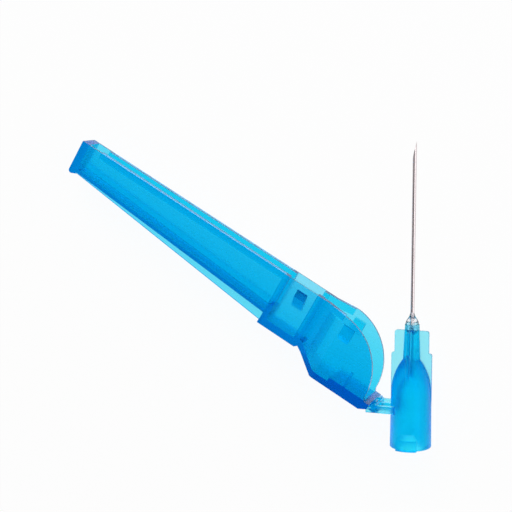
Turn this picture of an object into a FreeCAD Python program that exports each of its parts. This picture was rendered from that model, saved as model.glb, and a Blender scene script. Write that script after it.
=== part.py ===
import FreeCAD, Part
import math
import os

import Sketcher
from FreeCAD import Placement, Rotation, Vector

# Safety hypodermic needle, 0.6 x 30 mm, with a hinged shield, lying on its side.
# The origin is the centre of the hub's open end. +Y runs along the needle to its
# point, +Z is parallel to the hinge, and the open shield lies towards -X.
# The hub is drawn in that frame. The shield is drawn closed over the needle, from
# the hinge axis: X is the depth of its channel and Y runs along it to the tip.

DIMENSIONS = {
    # Hub moulding: body, shoulder and neck
    "hub_mouth_radius": 3.45,
    "mouth_round": 0.3,
    "hub_body_radius": 3.35,
    "shoulder_start": 9.2,
    "shoulder_end": 14.9,
    "shoulder_bow": 9.5,
    "neck_root_radius": 1.45,
    "neck_top_radius": 1.2,
    "neck_top": 20.8,
    # Conical socket, 6 percent taper, that goes over the syringe nozzle
    "socket_mouth_radius": 2.135,
    "socket_depth": 8.0,
    "socket_taper": 0.06,
    "dome_length": 4.6,
    "dome_bow": 7.2,
    "well_radius": 0.92,
    "well_depth": 1.6,
    "well_cone": 0.7,
    # Lock lugs on the mouth
    "lug_reach": 3.9,
    "lug_width": 3.5,
    "lug_height": 1.9,
    "lug_slope": 27.0,
    # Stepped fins round the neck: two in the hinge's plane and two across it
    "fin_thickness": 0.55,
    "side_fin_low_reach": 3.4,
    "side_fin_high_reach": 2.87,
    "face_fin_low_reach": 3.2,
    "face_fin_high_reach": 2.7,
    "fin_start": 8.0,
    "fin_step": 16.0,
    "fin_top": 19.75,
    "fin_corner": 0.4,
    # Hinge bracket: three arms, a stop tongue on each and the hinge bar
    "hinge_offset": 5.65,
    "hinge_height": 6.85,
    "bar_radius": 0.5,
    "bracket_half_width": 3.05,
    "bracket_root": 2.0,
    "arm_bottom": 6.0,
    "arm_top": 7.2,
    "arm_overhang": 0.25,
    "tongue_reach": 1.35,
    "stop_height": 0.1,
    "stop_gap": 0.05,
    "middle_arm_width": 1.2,
    "side_arm_width": 0.7,
    # Steel cannula
    "cannula_radius": 0.321,
    "cannula_bore_radius": 0.165,
    "cannula_tip": 51.0,
    "cannula_tail": 11.9,
    "bevel_angle": 12.0,
    "lancet_angle": 17.0,
    "lancet_turn": 38.0,
    # Adhesive bead
    "bead_radius": 1.12,
    "bead_waist": 0.72,
    "bead_waist_height": 1.0,
    "bead_height": 1.9,
    "bead_bow": 2.0,
    "seat_clearance": 0.01,
    "cannula_clearance": 0.02,
    # Shield, side view: depth of the channel along X, length along Y
    "heel_start": 0.8,
    "heel_back": 1.3,
    "heel_block_depth": 0.3,
    "heel_block_end": 8.8,
    "wall_start": 1.85,
    "heel_radius": 10.1,
    "heel_arc_end": 12.2,
    "ramp_foot": 11.9,
    "ramp_head": 16.4,
    "ramp_head_depth": 1.5,
    "box_start": 16.9,
    "box_end": 24.5,
    "box_back": 1.05,
    "channel_root_edge": 1.65,
    "channel_tip_edge": 5.3,
    "spine_root": 3.0,
    "spine_tip": 5.35,
    "lip_drop": 0.5,
    "lip_length": 0.7,
    "lip_round": 0.5,
    "shield_length": 67.8,
    "open_edge": 10.95,
    # Shield, walls
    "floor_thickness": 0.9,
    "box_floor": 1.2,
    "spine_thickness": 0.5,
    "foot_height": 1.2,
    "foot_step": 0.55,
    "tip_wall": 1.3,
    "heel_half_width": 4.1,
    "box_half_width": 2.7,
    "root_half_width": 2.6,
    "tip_half_width": 2.28,
    "taper_foot": 11.4,
    "taper_head": 15.4,
    "heel_wall": 0.48,
    "box_wall": 0.32,
    "channel_wall": 0.48,
    "wall_draft": 0.35,
    "ramp_wall": 1.0,
    "ramp_step_start": 13.0,
    "ramp_step": 1.5,
    # Shield, ribs and rim
    "first_rib_start": 16.7,
    "rib_width": 1.05,
    "rib_height": 1.0,
    "rim_depth": 1.25,
    "rim_height": 0.65,
    "rim_start": 11.8,
    "rim_end": 63.8,
    "heel_rib_start": 5.75,
    "heel_rib_width": 0.4,
    "heel_rib_depth": 3.4,
    "heel_rib_height": 1.0,
    "heel_rib_slope": 0.4,
    # Latch bumps that snap past the fins
    "bump_gap": 0.1,
    "bump_start": 9.1,
    "bump_length": 2.1,
    "bump_depth": 6.7,
    "bump_catch": 0.75,
    "bump_crest": 1.85,
    "bump_ramp": 0.35,
    # Hook that holds the closed needle
    "hook_start": 19.2,
    "hook_length": 2.0,
    "hook_gap": 0.1,
    "hook_depth": 6.4,
    "hook_thickness": 0.7,
    "hook_root_depth": 8.5,
    "hook_root": 1.35,
    # Clips that snap on the hinge bar
    "bar_clearance": 0.05,
    "clip_wall": 0.4,
    "clip_side_gap": 0.1,
    "clip_mouth_angle": 116.0,
    "clip_mouth_turn": -45.0,
    # Pose in which the part lies, and how far cutters and joins reach
    "open_angle": 60.0,
    "join": 0.15,
    "cut_reach": 3.0,
    "through": 100.0,
}


class Size:
    """A length that knows its value and the formula that the document keeps for it."""

    def __init__(self, value, text):
        self.value = value
        self.text = text

    def __add__(self, other):
        other = as_size(other)
        return Size(self.value + other.value, f"({self.text} + {other.text})")

    def __sub__(self, other):
        other = as_size(other)
        return Size(self.value - other.value, f"({self.text} - {other.text})")

    def __mul__(self, other):
        other = as_size(other)
        return Size(self.value * other.value, f"({self.text} * {other.text})")

    def __truediv__(self, other):
        other = as_size(other)
        return Size(self.value / other.value, f"({self.text} / {other.text})")

    def __rsub__(self, other):
        return as_size(other) - self

    def __rmul__(self, other):
        return as_size(other) * self

    def __neg__(self):
        return Size(-self.value, f"(0 - {self.text})")


def as_size(number):
    if isinstance(number, Size):
        return number
    return Size(float(number), f"({float(number)!r})")


def root(size):
    return Size(math.sqrt(size.value), f"sqrt({size.text})")


def sine(angle):
    return Size(math.sin(math.radians(angle.value)), f"sin({angle.text})")


def cosine(angle):
    return Size(math.cos(math.radians(angle.value)), f"cos({angle.text})")


def tangent(angle):
    return Size(math.tan(math.radians(angle.value)), f"tan({angle.text})")


class Dimensions:
    """The driving dimensions by name, each tied to its cell in the sheet."""

    def __init__(self, sheet_name, values):
        for name, value in values.items():
            setattr(self, name, Size(value, f"{sheet_name}.{name}"))


doc = FreeCAD.newDocument("safety_needle")


def dimension_sheet():
    sheet = doc.addObject("Spreadsheet::Sheet", "Sizes")
    for row, (name, value) in enumerate(DIMENSIONS.items(), start=1):
        sheet.set(f"A{row}", name)
        sheet.set(f"B{row}", str(value))
        sheet.setAlias(f"B{row}", name)
    doc.recompute()
    return sheet


dimension_sheet()
D = Dimensions("Sizes", DIMENSIONS)
SIDE = "XY_Plane"
END = "XZ_Plane"
PLAN = "YZ_Plane"
PLAN_TURN = Rotation(Vector(0, 1, 0), Vector(0, 0, 1), Vector(1, 0, 0), "ZXY")
END_TURN = Rotation(Vector(0, 0, 1), Vector(1, 0, 0), Vector(0, 1, 0), "ZXY")


def bind(thing, **properties):
    """Ties properties to their formulas. A double underscore stands for a dot in the path."""
    for path, size in properties.items():
        thing.setExpression(path.replace("__", "."), as_size(size).text)
    return thing


def arc_between(start, end, radius):
    """Arc from start to end, under half a turn. A positive radius puts its centre on the left."""
    chord = end - start
    left = Vector(-chord.y, chord.x, 0).normalize()
    rise = math.sqrt(radius * radius - chord.Length * chord.Length / 4)
    centre = (start + end) * 0.5 + left * math.copysign(rise, radius)
    angles = [math.atan2(point.y - centre.y, point.x - centre.x) for point in (start, end)]
    if radius < 0:
        angles.reverse()
    return Part.ArcOfCircle(Part.Circle(centre, Vector(0, 0, 1), abs(radius)), *angles)


def draw(sketch, points):
    """Draws a closed outline. Each point is x, y and, where an arc follows it, its radius."""
    corners = [[as_size(number) for number in point] for point in points]
    places = [Vector(corner[0].value, corner[1].value, 0) for corner in corners]
    count = len(corners)
    ends = []
    for index, corner in enumerate(corners):
        start = places[index]
        end = places[(index + 1) % count]
        if len(corner) == 3:
            sketch.addGeometry(arc_between(start, end, corner[2].value), False)
            ends.append((1, 2) if corner[2].value > 0 else (2, 1))
        else:
            sketch.addGeometry(Part.LineSegment(start, end), False)
            ends.append((1, 2))
    for index in range(count):
        following = (index + 1) % count
        joint = Sketcher.Constraint("Coincident", index, ends[index][1], following, ends[following][0])
        sketch.addConstraint(joint)
    for index, corner in enumerate(corners):
        for kind, size in zip(("DistanceX", "DistanceY"), corner):
            place = Sketcher.Constraint(kind, index, ends[index][0], size.value)
            name_constraint(sketch, place, f"{kind[-1]}{index}", size)
        if len(corner) == 3:
            bow = Sketcher.Constraint("Radius", index, abs(corner[2].value))
            name_constraint(sketch, bow, f"Bow{index}", corner[2] if corner[2].value > 0 else -corner[2])
    return sketch


def name_constraint(sketch, constraint, name, size):
    number = sketch.addConstraint(constraint)
    sketch.renameConstraint(number, name)
    sketch.setExpression(f"Constraints.{name}", size.text)


def circle(sketch, centre_x, centre_y, radius):
    centre = Vector(centre_x.value, centre_y.value, 0)
    sketch.addGeometry(Part.Circle(centre, Vector(0, 0, 1), radius.value), False)
    name_constraint(sketch, Sketcher.Constraint("DistanceX", 0, 3, centre_x.value), "X", centre_x)
    name_constraint(sketch, Sketcher.Constraint("DistanceY", 0, 3, centre_y.value), "Y", centre_y)
    name_constraint(sketch, Sketcher.Constraint("Radius", 0, radius.value), "Bow", radius)
    return sketch


def new_body(name):
    body = doc.addObject("PartDesign::Body", name)
    body.Label = name
    return body


def body_sketch(body, name, plane):
    sketch = body.newObject("Sketcher::SketchObject", name)
    support = [feature for feature in body.Origin.OriginFeatures if feature.Role == plane]
    sketch.AttachmentSupport = [(support[0], "")]
    sketch.MapMode = "FlatFace"
    return sketch


def body_feature(body, kind, name, sketch, **properties):
    """Pad, pocket, revolution or groove of a sketch. Lengths run to both sides of its plane."""
    feature = body.newObject(f"PartDesign::{kind}", name)
    feature.Profile = sketch
    if kind in ("Revolution", "Groove"):
        feature.ReferenceAxis = (sketch, ["V_Axis"])
        feature.Angle = 360
    else:
        feature.Midplane = True
    return bind(feature, **properties)


def block(name, turn, points, **properties):
    """Sketch in the shield's own frame, drawn out to both sides along its normal."""
    sketch = doc.addObject("Sketcher::SketchObject", f"{name}_outline")
    sketch.Placement = Placement(Vector(), turn)
    draw(sketch, points)
    solid = doc.addObject("Part::Extrusion", name)
    solid.Base = sketch
    solid.DirMode = "Custom"
    solid.Dir = turn.multVec(Vector(0, 0, 1))
    solid.Solid = True
    solid.Symmetric = True
    return bind(solid, **properties)


def drafted_block(name, outlines):
    """Solid between two plan outlines, each given with its depth in the shield."""
    sections = []
    for number, (depth, points) in enumerate(outlines):
        sketch = doc.addObject("Sketcher::SketchObject", f"{name}_outline_{number}")
        sketch.Placement = Placement(Vector(), PLAN_TURN)
        draw(sketch, points)
        sections.append(bind(sketch, Placement__Base__x=depth))
    solid = doc.addObject("Part::Loft", name)
    solid.Sections = sections
    solid.Solid = True
    solid.Ruled = True
    return solid


def boolean(kind, name, base, tool):
    result = doc.addObject(f"Part::{kind}", name)
    result.Base = base
    result.Tool = tool
    return result


def fuse(name, shapes):
    result = doc.addObject("Part::MultiFuse", name)
    result.Shapes = shapes
    return result


# Hub: body, neck, fins, lugs and hinge bracket in one moulding

def hub_bracket(hub):
    """Three arms with stop tongues, made as one plate with two windows, and the hinge bar."""
    arm_end = -(D.hinge_offset + D.arm_overhang)
    tongue_end = -(D.hinge_offset + D.tongue_reach)
    tongue_top = D.hinge_height - D.stop_height - D.stop_gap
    plate = draw(body_sketch(hub, "plate_outline", SIDE), [
        (tongue_end, D.arm_bottom),
        (-D.bracket_root, D.arm_bottom),
        (-D.bracket_root, D.arm_top),
        (arm_end, D.arm_top),
        (arm_end, tongue_top),
        (tongue_end, tongue_top),
    ])
    body_feature(hub, "Pad", "plate", plate, Length=2 * D.bracket_half_width)
    window_inner = D.middle_arm_width / 2
    window_outer = D.bracket_half_width - D.side_arm_width
    for name, side in (("near", 1), ("far", -1)):
        window = draw(body_sketch(hub, f"{name}_window_outline", END), [
            (tongue_end - D.cut_reach, side * window_inner),
            (0, side * window_inner),
            (0, side * window_outer),
            (tongue_end - D.cut_reach, side * window_outer),
        ])
        body_feature(hub, "Pocket", f"{name}_window", window, Length=D.through)
    bar = circle(body_sketch(hub, "bar_outline", SIDE), -D.hinge_offset, D.hinge_height, D.bar_radius)
    body_feature(hub, "Pad", "hinge_bar", bar, Length=2 * D.bracket_half_width)


def hub_shell(hub):
    """Turned form of body, shoulder and neck."""
    profile = draw(body_sketch(hub, "shell_outline", SIDE), [
        (0, 0),
        (D.hub_mouth_radius - D.mouth_round, 0, D.mouth_round),
        (D.hub_mouth_radius, D.mouth_round),
        (D.hub_body_radius, D.shoulder_start, D.shoulder_bow),
        (D.neck_root_radius, D.shoulder_end),
        (D.neck_top_radius, D.neck_top),
        (0, D.neck_top),
    ])
    body_feature(hub, "Revolution", "shell", profile)


def fin_points(low_reach, high_reach, along_first):
    """Stepped fin plate through the axis, with its four corners rounded by short arcs."""
    corner = D.fin_corner
    half = [
        (low_reach, D.fin_start),
        (low_reach, D.fin_step - corner, corner),
        (low_reach - corner, D.fin_step),
        (high_reach, D.fin_step),
        (high_reach, D.fin_top - corner, corner),
        (high_reach - corner, D.fin_top),
    ]
    points = list(half)
    for index in range(len(half) - 1, -1, -1):
        reach, height = half[index][:2]
        bent = index > 0 and len(half[index - 1]) == 3
        points.append((-reach, height, corner) if bent else (-reach, height))
    if along_first:
        return [(point[1], point[0], *[-bow for bow in point[2:]]) for point in points]
    return points


def hub_fins(hub):
    side_points = fin_points(D.side_fin_low_reach, D.side_fin_high_reach, along_first=False)
    side_fins = draw(body_sketch(hub, "side_fins_outline", SIDE), side_points)
    body_feature(hub, "Pad", "side_fins", side_fins, Length=D.fin_thickness)
    face_points = fin_points(D.face_fin_low_reach, D.face_fin_high_reach, along_first=True)
    face_fins = draw(body_sketch(hub, "face_fins_outline", PLAN), face_points)
    body_feature(hub, "Pad", "face_fins", face_fins, Length=D.fin_thickness)


def hub_lugs(hub):
    """Two lock lugs on the mouth, with round outer faces and tops that slope back to the body."""
    half = D.lug_width / 2
    corner = root(D.lug_reach * D.lug_reach - half * half)
    points = [
        (half, -corner),
        (half, corner, D.lug_reach),
        (-half, corner),
        (-half, -corner, D.lug_reach),
    ]
    lugs = draw(body_sketch(hub, "lugs_outline", END), points)
    pad = body_feature(hub, "Pad", "lugs", lugs, Length=D.lug_height)
    pad.Midplane = False
    pad.Reversed = True
    tops = draw(body_sketch(hub, "lug_tops_outline", END), points)
    bind(tops, AttachmentOffset__Base__z=-D.lug_height)
    slope_length = (D.lug_reach - D.hub_body_radius) / tangent(D.lug_slope)
    slopes = body_feature(hub, "Pad", "lug_slopes", tops, Length=slope_length, TaperAngle=-D.lug_slope)
    slopes.Midplane = False
    slopes.Reversed = True


def hub_hollow(hub):
    """Conical socket, domed room above it, cannula bore and adhesive well, cut in one turn."""
    slope = D.socket_taper / 2
    bore = D.cannula_radius + D.cannula_clearance
    well_floor = D.neck_top - D.well_depth
    profile = draw(body_sketch(hub, "hollow_outline", SIDE), [
        (0, -D.join),
        (D.socket_mouth_radius + slope * D.join, -D.join),
        (D.socket_mouth_radius - slope * D.socket_depth, D.socket_depth, D.dome_bow),
        (bore, D.socket_depth + D.dome_length),
        (bore, well_floor),
        (D.well_radius, well_floor + D.well_cone),
        (D.well_radius, D.neck_top + D.join),
        (0, D.neck_top + D.join),
    ])
    body_feature(hub, "Groove", "hollow", profile)


def make_hub():
    hub = new_body("hub")
    hub_bracket(hub)
    hub_shell(hub)
    hub_fins(hub)
    hub_lugs(hub)
    doc.recompute()
    full = hub.Shape.Volume
    hub_hollow(hub)
    doc.recompute()
    if not hub.Shape.Volume < full:
        raise RuntimeError("the hub's hollow cut nothing")
    return hub


# Cannula: drawn tube, ground to a bevel and two lancet facets

def bevel_cut(tube, name, angle, turn):
    """Grinds the tube at this angle to its axis, turned about the axis away from the middle plane."""
    reach = D.cannula_radius * cosine(turn)
    back = D.cannula_radius + D.cut_reach
    sketch = draw(body_sketch(tube, f"{name}_outline", SIDE), [
        (reach, D.cannula_tip),
        (-back, D.cannula_tip - (reach + back) / tangent(angle)),
        (-back, D.cannula_tip + D.cut_reach),
        (reach, D.cannula_tip + D.cut_reach),
    ])
    direction = Vector(0, math.copysign(1, turn.value), 0)
    sketch.AttachmentOffset = Placement(Vector(), Rotation(direction, abs(turn.value)))
    bind(sketch, AttachmentOffset__Rotation__Angle=turn * math.copysign(1, turn.value))
    return body_feature(tube, "Pocket", name, sketch, Length=D.through)


def make_cannula():
    tube = new_body("cannula")
    ring = draw(body_sketch(tube, "tube_outline", SIDE), [
        (D.cannula_bore_radius, D.cannula_tail),
        (D.cannula_radius, D.cannula_tail),
        (D.cannula_radius, D.cannula_tip),
        (D.cannula_bore_radius, D.cannula_tip),
    ])
    body_feature(tube, "Revolution", "drawn_tube", ring)
    volumes = []
    for name, angle, turn in (
        ("bevel", D.bevel_angle, as_size(0)),
        ("near_lancet", D.lancet_angle, D.lancet_turn),
        ("far_lancet", D.lancet_angle, -D.lancet_turn),
    ):
        bevel_cut(tube, name, angle, turn)
        doc.recompute()
        volumes.append(tube.Shape.Volume)
    if not volumes[0] > volumes[1] > volumes[2]:
        raise RuntimeError("a facet of the point cut nothing")
    return tube


# Adhesive bead that holds the cannula in the neck

def make_bead():
    bead = new_body("adhesive_bead")
    inner = D.cannula_radius + D.seat_clearance
    well = D.well_radius - D.seat_clearance
    bottom = D.neck_top - D.well_depth + D.seat_clearance
    profile = draw(body_sketch(bead, "bead_outline", SIDE), [
        (inner, bottom),
        (well, bottom + D.well_cone),
        (well, D.neck_top),
        (D.bead_radius, D.neck_top, D.bead_bow),
        (D.bead_waist, D.neck_top + D.bead_waist_height, -D.bead_bow),
        (inner, D.neck_top + D.bead_height),
    ])
    body_feature(bead, "Revolution", "bead", profile)
    return bead


# Shield: one moulding, drawn closed, from the hinge axis

def both_sides(half):
    """Plan outline from its points on one side: distance along the shield and half width."""
    return half + [(along, -width) for along, width in reversed(half)]


def shield_outer():
    """Outside of the shield: its side view and its plan, each drawn out and kept where they meet."""
    back = -D.heel_back
    arc_start = D.open_edge - D.heel_radius
    stop_front = -(D.stop_height + D.heel_start * cosine(D.open_angle)) / sine(D.open_angle)
    stop_rear = (D.heel_back * sine(D.open_angle) - D.stop_height) / cosine(D.open_angle)
    lip = D.channel_tip_edge - D.lip_drop
    side = block("side_form", Rotation(), [
        (stop_front, D.heel_start),
        (back, stop_rear),
        (back, D.ramp_foot),
        (D.ramp_head_depth, D.ramp_head),
        (D.box_back, D.box_start),
        (D.box_back, D.box_end),
        (D.channel_root_edge, D.box_end),
        (D.channel_tip_edge, D.shield_length - D.tip_wall - D.lip_drop),
        (lip, D.shield_length - D.lip_length),
        (lip, D.shield_length - D.lip_round, -D.lip_round),
        (lip + D.lip_round, D.shield_length),
        (D.open_edge, D.shield_length),
        (D.open_edge, D.heel_arc_end, -D.heel_radius),
        (arc_start, D.heel_arc_end - D.heel_radius),
        (D.heel_block_depth, D.wall_start),
        (D.heel_block_depth, D.heel_start),
    ], LengthFwd=D.through)
    plan = block("plan_form", PLAN_TURN, both_sides([
        (-D.cut_reach, D.heel_half_width),
        (D.taper_foot, D.heel_half_width),
        (D.taper_head, D.box_half_width),
        (D.box_end, D.box_half_width),
        (D.box_end, D.root_half_width),
        (D.shield_length + D.cut_reach, D.tip_half_width),
    ]), LengthFwd=D.through)
    return boolean("Common", "outer_form", side, plan)


def inner_plan(rim=False, draft=0):
    """Plan of the channel: heel, ramp, first rib, box, second rib and taper to the tip."""
    heel = D.heel_half_width - D.heel_wall - draft
    box = D.box_half_width - D.box_wall - draft
    channel_root = D.root_half_width - D.channel_wall - draft
    channel_tip = D.tip_half_width - D.channel_wall - draft
    channel_end = D.shield_length - D.tip_wall
    rib = box - D.rib_height
    first_rib_end = D.first_rib_start + D.rib_width
    second_rib_start = D.box_end - D.rib_width
    tip_part = [(channel_end, channel_tip)]
    if rim:
        closing = (channel_root - channel_tip) / (channel_end - D.box_end)
        rim_end = channel_root - closing * (D.rim_end - D.box_end)
        tip_part = [
            (D.rim_end, rim_end - D.rim_height),
            (D.rim_end, rim_end),
            (channel_end, channel_tip),
        ]
        narrowing = (heel - box) / (D.taper_head - D.taper_foot)
        start = heel - narrowing * (D.rim_start - D.taper_foot)
        heel_part = [
            (-D.cut_reach, heel),
            (D.taper_foot, heel),
            (D.rim_start, start),
            (D.rim_start, start - D.rim_height),
            (D.taper_head, box - D.rim_height),
            (D.first_rib_start, box - D.rim_height),
        ]
    else:
        narrowing = (D.heel_half_width - D.box_half_width) / (D.taper_head - D.taper_foot)
        ramp = D.box_half_width - D.ramp_wall - draft
        step_end = D.ramp_step_start + D.ramp_step
        heel_part = [
            (-D.cut_reach, heel),
            (D.taper_foot, heel),
            (D.ramp_step_start, heel - narrowing * (D.ramp_step_start - D.taper_foot)),
            (step_end, ramp + narrowing * (D.taper_head - step_end)),
            (D.taper_head, ramp),
            (D.first_rib_start, ramp),
        ]
    inset = D.rim_height if rim else 0
    return both_sides(heel_part + [
        (D.first_rib_start, rib),
        (first_rib_end, rib),
        (first_rib_end, box),
        (second_rib_start, box),
        (second_rib_start, rib),
        (D.box_end, rib),
        (D.box_end, channel_root - inset),
    ] + tip_part)


def shield_hollows():
    """Channel below the rim, its narrow foot, the mouth between the rims and the spine's recess."""
    floor = D.floor_thickness - D.heel_back
    end = D.shield_length - D.tip_wall
    rim_bottom = D.open_edge - D.rim_depth
    first_rib_end = D.first_rib_start + D.rib_width
    second_rib_start = D.box_end - D.rib_width
    spine_root = D.spine_root + D.spine_thickness
    spine_tip = D.spine_tip + D.spine_thickness
    channel_side = block("channel_side", Rotation(), [
        (D.heel_block_depth, -D.cut_reach),
        (D.heel_block_depth, D.heel_block_end),
        (floor, D.heel_block_end + D.join),
        (floor, D.ramp_foot),
        (D.ramp_head_depth + D.floor_thickness, D.ramp_head),
        (D.ramp_head_depth + D.floor_thickness, first_rib_end),
        (D.box_back + D.box_floor, first_rib_end),
        (D.box_back + D.box_floor, second_rib_start),
        (spine_root + D.foot_height, second_rib_start),
        (spine_root + D.foot_height, D.box_end),
        (spine_tip + D.foot_height, end),
        (rim_bottom, end),
        (rim_bottom, -D.cut_reach),
    ], LengthFwd=D.through)
    channel_plan = drafted_block("channel_plan", [
        (-D.heel_back, inner_plan(draft=D.wall_draft)),
        (D.open_edge, inner_plan()),
    ])
    foot_side = block("foot_side", Rotation(), [
        (spine_root, D.box_end),
        (spine_tip, end),
        (spine_tip + D.foot_height + D.join, end),
        (spine_root + D.foot_height + D.join, D.box_end),
    ], LengthFwd=D.through)
    foot_plan = block("foot_plan", PLAN_TURN, inner_plan(draft=D.foot_step), LengthFwd=D.through)
    mouth_side = block("mouth_side", Rotation(), [
        (rim_bottom, -D.cut_reach),
        (rim_bottom, end),
        (D.open_edge + D.cut_reach, end),
        (D.open_edge + D.cut_reach, -D.cut_reach),
    ], LengthFwd=D.through)
    mouth_plan = block("mouth_plan", PLAN_TURN, inner_plan(rim=True), LengthFwd=D.through)
    recess_side = block("recess_side", Rotation(), [
        (-D.cut_reach, D.box_end),
        (D.spine_root, D.box_end),
        (D.spine_tip, end),
        (-D.cut_reach, end),
    ], LengthFwd=D.through)
    recess_plan = block("recess_plan", PLAN_TURN, inner_plan(), LengthFwd=D.through)
    channel = boolean("Common", "channel_hollow", channel_side, channel_plan)
    foot = boolean("Common", "foot_hollow", foot_side, foot_plan)
    mouth = boolean("Common", "mouth_hollow", mouth_side, mouth_plan)
    recess = boolean("Common", "spine_recess", recess_side, recess_plan)
    return fuse("shield_hollows", [channel, foot, mouth, recess])


def moved(solid, x=0, y=0, z=0):
    """Places a solid of the shield by formulas."""
    return bind(solid, Placement__Base__x=x, Placement__Base__y=y, Placement__Base__z=z)


def latch_bump(name, side):
    """Wedge inside a wall that rides over the fins and snaps behind them."""
    wall = D.heel_half_width - D.heel_wall
    face = D.face_fin_high_reach + D.bump_gap
    crest = D.bump_depth + D.bump_catch
    front = crest + D.bump_crest + D.bump_ramp
    points = [
        (D.bump_depth, side * (wall + D.join)),
        (D.bump_depth, side * wall),
        (crest, side * face),
        (crest + D.bump_crest, side * face),
        (front, side * wall),
        (front, side * (wall + D.join)),
    ]
    bump = block(name, END_TURN, [(across, depth) for depth, across in points],
                 LengthFwd=D.bump_length)
    return moved(bump, y=D.bump_start + D.bump_length / 2)


def needle_hook():
    """Sprung tongue from one wall, with its end beside the needle's way in."""
    wall = D.box_half_width - D.box_wall
    tip = D.cannula_radius + D.hook_gap
    points = [
        (D.hook_root_depth, wall + D.join),
        (D.hook_root_depth, wall),
        (D.hook_depth, tip + D.hook_thickness / 2),
        (D.hook_depth, tip),
        (D.hook_depth + D.hook_thickness, tip),
        (D.hook_root_depth + D.hook_root, wall),
        (D.hook_root_depth + D.hook_root, wall + D.join),
    ]
    hook = block("needle_hook", END_TURN, [(across, depth) for depth, across in points],
                 LengthFwd=D.hook_length)
    return moved(hook, y=D.hook_start + D.hook_length / 2)


def heel_rib():
    """Short stiffening rib that stands on the heel's block, inside the near wall."""
    wall = D.heel_half_width - D.heel_wall
    foot = D.heel_block_depth - D.join
    points = [
        (foot, wall + D.join),
        (foot, wall - D.heel_rib_height),
        (D.heel_rib_depth - D.heel_rib_slope, wall - D.heel_rib_height),
        (D.heel_rib_depth, wall),
        (D.heel_rib_depth, wall + D.join),
    ]
    rib = block("heel_rib", END_TURN, [(across, depth) for depth, across in points],
                LengthFwd=D.heel_rib_width)
    return moved(rib, y=D.heel_rib_start + D.heel_rib_width / 2)


def hinge_clip(name, start):
    """Open ring that snaps on the hinge bar, with the web that joins it to the heel."""
    bore_radius = D.bar_radius + D.bar_clearance
    outer_radius = bore_radius + D.clip_wall
    window = D.bracket_half_width - D.side_arm_width - D.middle_arm_width / 2
    length = window - 2 * D.clip_side_gap
    ring = doc.addObject("Part::Cylinder", f"{name}_ring")
    bind(ring, Radius=outer_radius, Height=length, Angle=360 - D.clip_mouth_angle,
         Placement__Base__z=start)
    ring.Placement.Rotation = Rotation(Vector(0, 0, 1), 0)
    bind(ring, Placement__Rotation__Angle=D.clip_mouth_turn + D.clip_mouth_angle / 2)
    web = doc.addObject("Part::Box", f"{name}_web")
    bind(web, Length=outer_radius + D.heel_block_depth, Width=D.heel_start + D.join, Height=length,
         Placement__Base__x=-outer_radius, Placement__Base__z=start)
    bore = doc.addObject("Part::Cylinder", f"{name}_bore")
    bind(bore, Radius=bore_radius, Height=length, Placement__Base__z=start)
    return boolean("Cut", name, fuse(f"{name}_blank", [ring, web]), bore)


def make_shield():
    shell = boolean("Cut", "shield_shell", shield_outer(), shield_hollows())
    clip_start = D.middle_arm_width / 2 + D.clip_side_gap
    clip_end = D.bracket_half_width - D.side_arm_width - D.clip_side_gap
    shield = fuse("shield", [
        shell,
        latch_bump("near_bump", 1),
        latch_bump("far_bump", -1),
        needle_hook(),
        heel_rib(),
        hinge_clip("near_clip", clip_start),
        hinge_clip("far_clip", -clip_end),
    ])
    shield.Placement = Placement(Vector(), Rotation(Vector(0, 0, 1), 0))
    bind(shield, Placement__Base__x=-D.hinge_offset, Placement__Base__y=D.hinge_height,
         Placement__Rotation__Angle=D.open_angle)
    return shield


def check_and_write(pieces):
    """Stops on any failed object or bad shape, then writes one file for each piece."""
    doc.recompute()
    for thing in doc.Objects:
        if "Invalid" in thing.State or "Error" in thing.State:
            raise RuntimeError(f"{thing.Name} failed: {thing.State}")
    for piece in pieces:
        if piece.Shape.isNull() or not piece.Shape.isValid():
            raise RuntimeError(f"{piece.Label} has no valid shape")
    os.makedirs("parts", exist_ok=True)
    for piece in pieces:
        piece.Shape.exportStep(f"parts/{piece.Label}.step")
        box = piece.Shape.BoundBox
        print(f"{piece.Label}: {len(piece.Shape.Solids)} solid, {piece.Shape.Volume:.2f} mm3,",
              f"x {box.XMin:.2f} to {box.XMax:.2f}, y {box.YMin:.2f} to {box.YMax:.2f},",
              f"z {box.ZMin:.2f} to {box.ZMax:.2f}")


check_and_write([make_hub(), make_cannula(), make_bead(), make_shield()])
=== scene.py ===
# %% [markdown]
# # A safety hypodermic needle
#
# The part is a small medical disposable: a steel tube in a blue hub, with a hinged blue shield that
# snaps over the tube after use. Both mouldings are thin, see-through polypropylene, so nearly the
# whole picture is made by light that has passed through walls. This lesson dresses the four packed
# pieces where they are. Their shapes are right already, so the work is in the materials, the
# floor that shines through them and the light.

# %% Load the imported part
import math

import bpy
from mathutils import Matrix, Vector


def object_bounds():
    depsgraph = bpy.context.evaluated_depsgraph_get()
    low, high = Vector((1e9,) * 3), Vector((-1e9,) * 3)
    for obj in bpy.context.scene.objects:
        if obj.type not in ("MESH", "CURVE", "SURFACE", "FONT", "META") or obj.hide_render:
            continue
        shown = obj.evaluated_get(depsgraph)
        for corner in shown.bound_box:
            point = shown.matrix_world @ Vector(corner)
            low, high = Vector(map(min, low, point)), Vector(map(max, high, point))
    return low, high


MM = 0.001
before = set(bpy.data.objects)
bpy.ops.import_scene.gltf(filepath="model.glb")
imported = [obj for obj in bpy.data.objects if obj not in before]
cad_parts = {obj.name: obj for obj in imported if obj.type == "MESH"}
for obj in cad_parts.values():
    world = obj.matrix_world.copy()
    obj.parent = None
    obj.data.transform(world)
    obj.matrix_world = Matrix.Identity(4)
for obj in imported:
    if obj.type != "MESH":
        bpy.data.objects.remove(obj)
cad_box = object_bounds()
print("nodes:", sorted(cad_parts))
print("size in mm:", [round((high - low) / MM, 1) for low, high in zip(*cad_box)])

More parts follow.
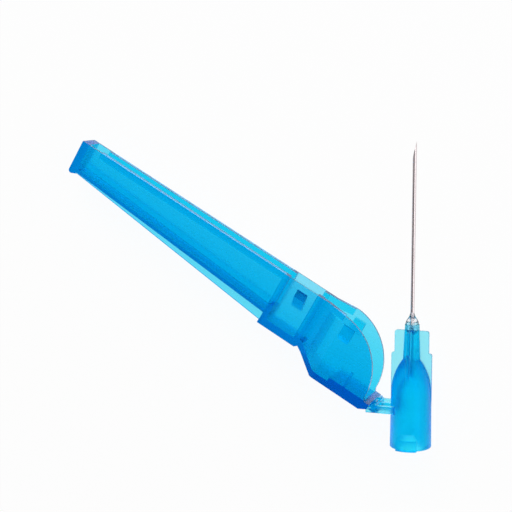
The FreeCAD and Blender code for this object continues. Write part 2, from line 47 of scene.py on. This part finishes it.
# %% [markdown]
# ## Camera
#
# The photograph shows the needle upright, from a little to its right and above. The real thing
# falls over with its shield open, so the part lies on its side, and the camera looks down on it
# from the same direction. Its place can be found by trial, or worked out from the hub's axis and
# the near and far walls of the shield, which gives a camera that also has the photograph's
# perspective. The second way was used: the angles and the place below are its result.

# %% Camera
PHOTO_PIXELS = 512
FOCAL_PIXELS = 1340.9
SENSOR = 36.0
CAMERA_TURN = math.radians(19.67)
CAMERA_DIP = math.radians(7.42)
CAMERA_PLACE = Vector((49.2, 60.6, 214.4)) * MM
CAMERA_NEAREST = 10 * MM
CAMERA_FARTHEST = 20


def camera_axes(turn, dip):
    """Right, up and forward of a camera that looks down on the part, turned and dipped from -Z."""
    forward = Vector((-math.sin(turn) * math.cos(dip), -math.sin(dip), -math.cos(turn) * math.cos(dip)))
    right = Vector((math.cos(turn), 0, -math.sin(turn)))
    return right, right.cross(forward), forward


def add_camera():
    right, up, forward = camera_axes(CAMERA_TURN, CAMERA_DIP)
    data = bpy.data.cameras.new("camera")
    data.sensor_width = SENSOR
    data.lens = FOCAL_PIXELS / PHOTO_PIXELS * SENSOR
    data.clip_start = CAMERA_NEAREST
    data.clip_end = CAMERA_FARTHEST
    camera = bpy.data.objects.new("camera", data)
    turn = Matrix((right, up, -forward)).transposed().to_4x4()
    camera.matrix_world = Matrix.Translation(CAMERA_PLACE) @ turn
    bpy.context.scene.collection.objects.link(camera)
    bpy.context.scene.camera = camera
    return camera


camera = add_camera()
print("lens in mm:", round(camera.data.lens, 1))

# %% [markdown]
# ## Writing shader maths as Python
#
# A procedural finish is a sum of small formulas. Wiring each one by hand hides the idea, so one
# small class wraps a socket and turns +, - and * into Math nodes. Every other node comes from
# `Finish.node`, which sets its options first and its sockets after. The world is made with it too.
#
# A Mix node has several sockets of the same name, one for each kind of data, so the ones for
# colours are found by their places.

# %% Shader helper
MIX_FIRST = 6
MIX_SECOND = 7
MIX_RESULT = 2


class Wire:
    """An output socket that can be used in a formula."""

    def __init__(self, finish, socket):
        self.finish = finish
        self.socket = socket

    def math(self, operation, first, second):
        return self.finish.node("ShaderNodeMath", {"operation": operation}, {0: first, 1: second})

    def __add__(self, other):
        return self.math("ADD", self, other)

    def __sub__(self, other):
        return self.math("SUBTRACT", self, other)

    def __mul__(self, other):
        return self.math("MULTIPLY", self, other)

    def __radd__(self, other):
        return self.math("ADD", other, self)

    def __rsub__(self, other):
        return self.math("SUBTRACT", other, self)

    def __rmul__(self, other):
        return self.math("MULTIPLY", other, self)


class Finish:
    """The nodes of a material, or of the world, in the making."""

    def __init__(self, owner, output="ShaderNodeOutputMaterial"):
        owner.use_nodes = True
        self.owner = owner
        self.tree = owner.node_tree
        self.tree.nodes.clear()
        self.output = self.tree.nodes.new(output)

    def node(self, kind, settings=None, inputs=None, output=0):
        made = self.tree.nodes.new(kind)
        for name, value in (settings or {}).items():
            setattr(made, name, value)
        for name, value in (inputs or {}).items():
            self.put(made.inputs[name], value)
        return Wire(self, made.outputs[output])

    def ray(self, kind):
        """1 for rays of this kind, 0 for others."""
        return self.node("ShaderNodeLightPath", output=kind)

    def grain(self, turn, cell, detail=2.0):
        """Noise from 0 to 1 with cells of three sizes in mm, the first along the turned X axis."""
        place = self.node("ShaderNodeTexCoord", output="Object")
        cells = self.node("ShaderNodeMapping", {"vector_type": "TEXTURE"}, {
            "Vector": place,
            "Rotation": (0, 0, turn),
            "Scale": tuple(side * MM for side in cell),
        })
        return self.node("ShaderNodeTexNoise", {}, {"Vector": cells, "Scale": 1.0, "Detail": detail})

    def below(self, axis, level, edge):
        """1 below this level on an axis of the object and 0 above it, with an edge this wide, in mm."""
        place = self.node("ShaderNodeTexCoord", output="Object")
        along = self.node("ShaderNodeSeparateXYZ", {}, {0: place}, output=axis)
        return self.node("ShaderNodeMapRange", {}, {
            "Value": along, "From Min": (level + edge / 2) * MM, "From Max": (level - edge / 2) * MM})

    def blend(self, share, first, second):
        """Colour between two colours, with this share of the second."""
        colours = {0: share, MIX_FIRST: first, MIX_SECOND: second}
        return self.node("ShaderNodeMix", {"data_type": "RGBA"}, colours, output=MIX_RESULT)

    def bump(self, height, depth):
        """Normal of a surface that is uneven by this depth in mm."""
        return self.node("ShaderNodeBump", {}, {"Height": height, "Strength": 1.0, "Distance": depth * MM})

    def put(self, socket, value):
        if isinstance(value, Wire):
            self.tree.links.new(value.socket, socket)
        elif isinstance(value, tuple) and socket.type == "RGBA" and len(value) == 3:
            socket.default_value = (*value, 1)
        else:
            socket.default_value = value

    def surface(self, shader):
        self.put(self.output.inputs["Surface"], shader)

    def volume(self, shader):
        self.put(self.output.inputs["Volume"], shader)


# %% [markdown]
# ## Floor
#
# The photograph has a pure white ground and only a breath of shadow. A floor could be lit until it
# clips, but that much light would wash out the plastic. Instead the floor mixes a plain white
# surface with a white glow. The glow is only for the rays that see the floor: straight from the
# camera, through the plastic or in a reflection. The camera also sees a small share of the plain
# surface, and that share keeps the shadow.

# %% Floor
FLOOR_SIDE = 3.0
FLOOR_GAP = 0.02 * MM
FLOOR_GLOW_SHARE = 0.94
FLOOR_COLOUR = (0.9, 0.9, 0.9)


def floor_finish():
    floor = Finish(bpy.data.materials.new("white_floor"))
    glowing = floor.ray("Is Camera Ray") * FLOOR_GLOW_SHARE
    glowing = glowing + floor.ray("Is Transmission Ray") + floor.ray("Is Glossy Ray")
    plain = floor.node("ShaderNodeBsdfDiffuse", {}, {"Color": FLOOR_COLOUR})
    glow = floor.node("ShaderNodeEmission", {}, {"Color": (1, 1, 1), "Strength": 1.0})
    floor.surface(floor.node("ShaderNodeMixShader", {}, {0: glowing, 1: plain, 2: glow}))
    return floor.owner


def add_floor():
    height = cad_box[0].z - FLOOR_GAP
    half = FLOOR_SIDE / 2
    mesh = bpy.data.meshes.new("floor")
    corners = [(-half, -half, height), (half, -half, height), (half, half, height), (-half, half, height)]
    mesh.from_pydata(corners, [], [(0, 1, 2, 3)])
    floor = bpy.data.objects.new("floor", mesh)
    bpy.context.scene.collection.objects.link(floor)
    mesh.materials.append(floor_finish())
    return floor


floor = add_floor()
print("floor height in mm:", round(floor.data.vertices[0].co.z / MM, 2))

# %% [markdown]
# ## Light
#
# Small clear parts are photographed between large, soft panels of light. Seen from above, a round
# steel tube mirrors only what stands square to its length. Two panels stand there: one at the
# right, which gives the tube its bright side, and a weak one at the left. The strongest stands past
# the needle's point, where the tube doesn't mirror it, and lights the plastic and the floor. The
# room stays dim, because a bright one would make the tube vanish on the white ground, but it is
# white where it is seen directly or through a wall.

# %% World and lamps
WORLD_LEVEL = 0.18
PANEL_SIDE = 0.8
PANELS = {
    "right_panel": ((0.6, 0.1, 0.3), 3.4),
    "left_panel": ((-0.65, 0.1, 0.2), 0.9),
    "far_panel": ((-0.05, 0.8, 0.42), 7.5),
}


def add_world():
    room = Finish(bpy.data.worlds.new("studio"), "ShaderNodeOutputWorld")
    seen = room.node("ShaderNodeMath", {"operation": "MAXIMUM"}, {
        0: room.ray("Is Camera Ray"), 1: room.ray("Is Transmission Ray")})
    strength = room.node("ShaderNodeMapRange", {}, {"Value": seen, "To Min": WORLD_LEVEL, "To Max": 1.0})
    room.surface(room.node("ShaderNodeBackground", {}, {"Color": (1, 1, 1), "Strength": strength}))
    bpy.context.scene.world = room.owner


def add_panel(name, place, power):
    data = bpy.data.lights.new(name, "AREA")
    data.shape = "SQUARE"
    data.size = PANEL_SIDE
    data.energy = power
    lamp = bpy.data.objects.new(name, data)
    lamp.location = place
    lamp.rotation_mode = "QUATERNION"
    lamp.rotation_quaternion = (-Vector(place)).to_track_quat("-Z", "Y")
    bpy.context.scene.collection.objects.link(lamp)


add_world()
for panel, (place, power) in PANELS.items():
    add_panel(panel, place, power)
bpy.context.scene.view_settings.view_transform = "Standard"
print("panels:", ", ".join(PANELS))

# %% [markdown]
# ## Blue polypropylene
#
# The hub and the shield are moulded in tinted, see-through polypropylene. A surface colour would
# make every wall equally blue. On the real part one thin wall is pale cyan, two are cyan blue and the
# thick floors and ribs are deep blue. Light loses a little at each surface that it crosses and much
# more on its way through the material: red is gone after a millimetre, green fades over several,
# and blue goes on. So there are two tints. The skin is a pale colour that the light takes on as it
# goes in and out, and the depth is an absorption inside, with a colour and a density per metre.
# Together they fit the thin walls and the thick ones, which one tint alone can't. Half of what a
# clear wall reflects comes from its far side, through the plastic, so reflections are tinted too.
#
# The surface itself comes from the mould. Its steel is finely eroded, so the walls blur what lies
# behind them a little, and long flow marks run from the gate along the piece. The first is a fine
# bump with a fine change of the roughness, the second a slow change of the roughness and a faint
# one of the skin. Both changes swing round the middle of the noise, so the mean gloss stays.
#
# A clear wall would throw as deep a shadow as a solid one, so rays to the lamps meet a nearly clear
# surface instead.

# %% Polypropylene
PLASTIC_IOR = 1.49
PLASTIC_REFLECTION = (0.0, 0.5, 1.0)
PLASTIC_SHADOW = (0.9, 0.92, 0.94)
FLOW_CELL = (7.0, 0.9, 0.9)
FLOW_HAZE = 0.96
ERODED_CELL = (0.3, 0.3, 0.3)
ERODED_DEPTH = 0.0012
GLOSS_SPREAD = 0.1
NOISE_MIDDLE = 0.5
FINE_DETAIL = 3.0


def plastic_finish(name, turn, skin, depth, density, roughness):
    plastic = Finish(bpy.data.materials.new(name))
    flow = plastic.grain(turn, FLOW_CELL)
    eroded = plastic.grain(turn, ERODED_CELL, FINE_DETAIL)
    flow_marks = roughness + GLOSS_SPREAD * (flow - NOISE_MIDDLE)
    wall = plastic.node("ShaderNodeBsdfPrincipled", {}, {
        "Base Color": plastic.blend(flow, skin, tuple(FLOW_HAZE * level for level in skin)),
        "Roughness": flow_marks + GLOSS_SPREAD * (eroded - NOISE_MIDDLE),
        "IOR": PLASTIC_IOR,
        "Transmission Weight": 1.0,
        "Specular Tint": PLASTIC_REFLECTION,
        "Normal": plastic.bump(eroded, ERODED_DEPTH),
    })
    clear = plastic.node("ShaderNodeBsdfTransparent", {}, {"Color": PLASTIC_SHADOW})
    plastic.surface(plastic.node("ShaderNodeMixShader", {}, {
        0: plastic.ray("Is Shadow Ray"), 1: wall, 2: clear}))
    plastic.volume(plastic.node("ShaderNodeVolumeAbsorption", {}, {"Color": depth, "Density": density}))
    return plastic.owner


def dress(node, material):
    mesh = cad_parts[node].data
    mesh.materials.clear()
    mesh.materials.append(material)
    print(node, "is", material.name, "on", len(mesh.polygons), "faces")


# %% [markdown]
# ## Hub
#
# The hub is one moulding with thick walls round its socket. It could share the shield's material,
# but it is paler for its thickness and blurs more, so it has values of its own. Its flow marks run
# along the needle.

# %% Hub
ALONG_NEEDLE = math.radians(90)
HUB_SKIN = (0.95, 0.92, 1.0)
HUB_DEPTH = (0.2, 0.947, 0.993)
HUB_DENSITY = 2600.0
HUB_ROUGHNESS = 0.4

dress("hub", plastic_finish(
    "hub_polypropylene", ALONG_NEEDLE, HUB_SKIN, HUB_DEPTH, HUB_DENSITY, HUB_ROUGHNESS))

# %% [markdown]
# ## Shield
#
# The shield is a long trough. Most of its walls are half a millimetre thick or less, so its plastic
# needs a denser tint to look as blue. Its noise is turned further than the hub's, by the angle at
# which the shield stands open, so that the flow marks run along the trough.

# %% Shield
SHIELD_OPEN = math.radians(60)
ALONG_SHIELD = ALONG_NEEDLE + SHIELD_OPEN
SHIELD_SKIN = (0.7, 0.82, 1.0)
SHIELD_DEPTH = (0.0, 0.931, 0.981)
SHIELD_DENSITY = 3600.0
SHIELD_ROUGHNESS = 0.25

dress("shield", plastic_finish(
    "shield_polypropylene", ALONG_SHIELD, SHIELD_SKIN, SHIELD_DEPTH, SHIELD_DENSITY, SHIELD_ROUGHNESS))

# %% [markdown]
# ## Steel cannula
#
# The tube is drawn through a die, which leaves fine lines along it, and then polished round its
# axis, which leaves fainter rings. Both could be cut into the mesh, but they are far thinner than a
# pixel and only show as a soft, uneven gloss. Noise that is stretched along the tube and round it
# gives that. The steel is a faintly mauve grey. The end that sits in the hub is blasted, so that
# the adhesive grips it, which makes it matt. Its darker, bluish grey is painted shade with a blue
# cast, for where it lies inside the hub.

# %% Steel
DRAWN_CELL = (5.0, 0.06, 0.06)
DRAWN_DEPTH = 0.003
DRAWN_SPREAD = 0.14
RING_CELL = (0.12, 2.0, 2.0)
RING_SPREAD = 0.1
STEEL_COLOURS = ((0.56, 0.49, 0.5), (0.72, 0.65, 0.66))
STEEL_ROUGHNESS = 0.16
BLASTED_ROUGHNESS = 0.4
# Painted shade: the end inside the hub is coloured darker and bluer, for the shade and blue cast of the
# hub around it.
BLASTED_GREY_WITH_PAINTED_SHADE = (0.26, 0.32, 0.44)
BLASTED_AND_SHADED_BELOW_NECK = 0.3
BLASTED_AND_SHADED_EDGE = 0.4

neck_top = max(vertex.co.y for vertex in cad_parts["hub"].data.vertices) / MM
print("neck ends at mm:", round(neck_top, 2))


def steel_finish():
    steel = Finish(bpy.data.materials.new("drawn_steel"))
    drawn = steel.grain(ALONG_NEEDLE, DRAWN_CELL)
    rings = steel.grain(ALONG_NEEDLE, RING_CELL, FINE_DETAIL)
    # Below the neck the steel is matt, and its colour there is painted shade with a blue cast.
    blasted_and_painted_shade = steel.below("Y", neck_top - BLASTED_AND_SHADED_BELOW_NECK, BLASTED_AND_SHADED_EDGE)
    polished = steel.blend(rings, *STEEL_COLOURS)
    lines = STEEL_ROUGHNESS + DRAWN_SPREAD * drawn + RING_SPREAD * rings
    steel.surface(steel.node("ShaderNodeBsdfPrincipled", {}, {
        # Painted shade with a blue cast on the end inside the hub.
        "Base Color": steel.blend(blasted_and_painted_shade, polished, BLASTED_GREY_WITH_PAINTED_SHADE),
        "Metallic": 1.0,
        "Roughness": lines + BLASTED_ROUGHNESS * blasted_and_painted_shade,
        "Normal": steel.bump(drawn, DRAWN_DEPTH),
    }))
    return steel.owner


dress("cannula", steel_finish())

# %% [markdown]
# ## Adhesive
#
# The bead is a clear resin that was set by light. It is glossy, but it shrinks as it sets, which
# leaves a slightly uneven skin, and it has a bluish grey cast between the steel and the hub. It
# bends light less than the resin really does: at the real value the edge of such a small drop
# mirrors the dark room and turns black.

# %% Adhesive
ADHESIVE_IOR = 1.36
ADHESIVE_CAST = (0.88, 0.93, 0.97)
SKIN_CELL = (0.6, 0.45, 0.45)
SKIN_DEPTH = 0.006
SKIN_ROUGHNESS = 0.12


def adhesive_finish():
    adhesive = Finish(bpy.data.materials.new("clear_adhesive"))
    skin = adhesive.grain(ALONG_NEEDLE, SKIN_CELL)
    adhesive.surface(adhesive.node("ShaderNodeBsdfPrincipled", {}, {
        "Base Color": adhesive.blend(skin, ADHESIVE_CAST, (1, 1, 1)),
        "Roughness": SKIN_ROUGHNESS * (1 + skin),
        "IOR": ADHESIVE_IOR,
        "Transmission Weight": 1.0,
        "Normal": adhesive.bump(skin, SKIN_DEPTH),
    }))
    return adhesive.owner


dress("adhesive_bead", adhesive_finish())
